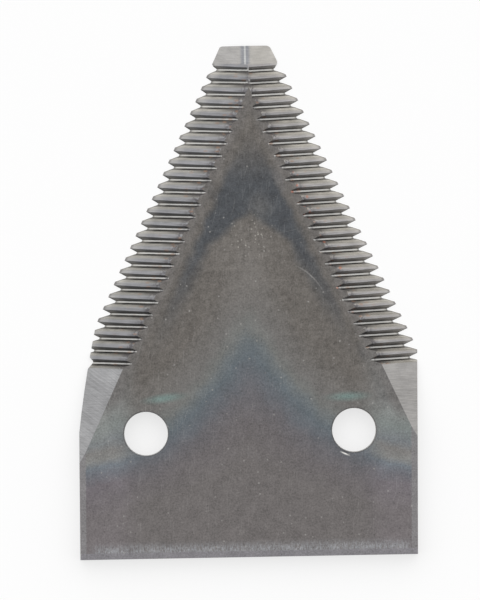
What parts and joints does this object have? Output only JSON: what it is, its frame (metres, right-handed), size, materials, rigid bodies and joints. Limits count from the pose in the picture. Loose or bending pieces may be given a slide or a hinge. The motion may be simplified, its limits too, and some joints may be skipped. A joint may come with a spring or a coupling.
{
  "type": "knife section",
  "caption": "Flat triangular steel mower knife section with serrated bevelled cutting edges, a blunt nose and a rectangular base with a bolt hole at each side.",
  "frame": {"origin": "on the flat back face, midway between the two bolt holes", "axes": "+X from the left bolt hole to the right one, +Y towards the nose, +Z out of the top face that carries the bevels and grooves"},
  "size_m": [0.0819, 0.1229, 0.004],
  "materials": {
    "blade_steel": "hardened plate steel with dull heat-tinted faces and lighter ground bevels"
  },
  "bodies": {
    "root": {"knife_section": "blade_steel"}
  },
  "joints": []
}
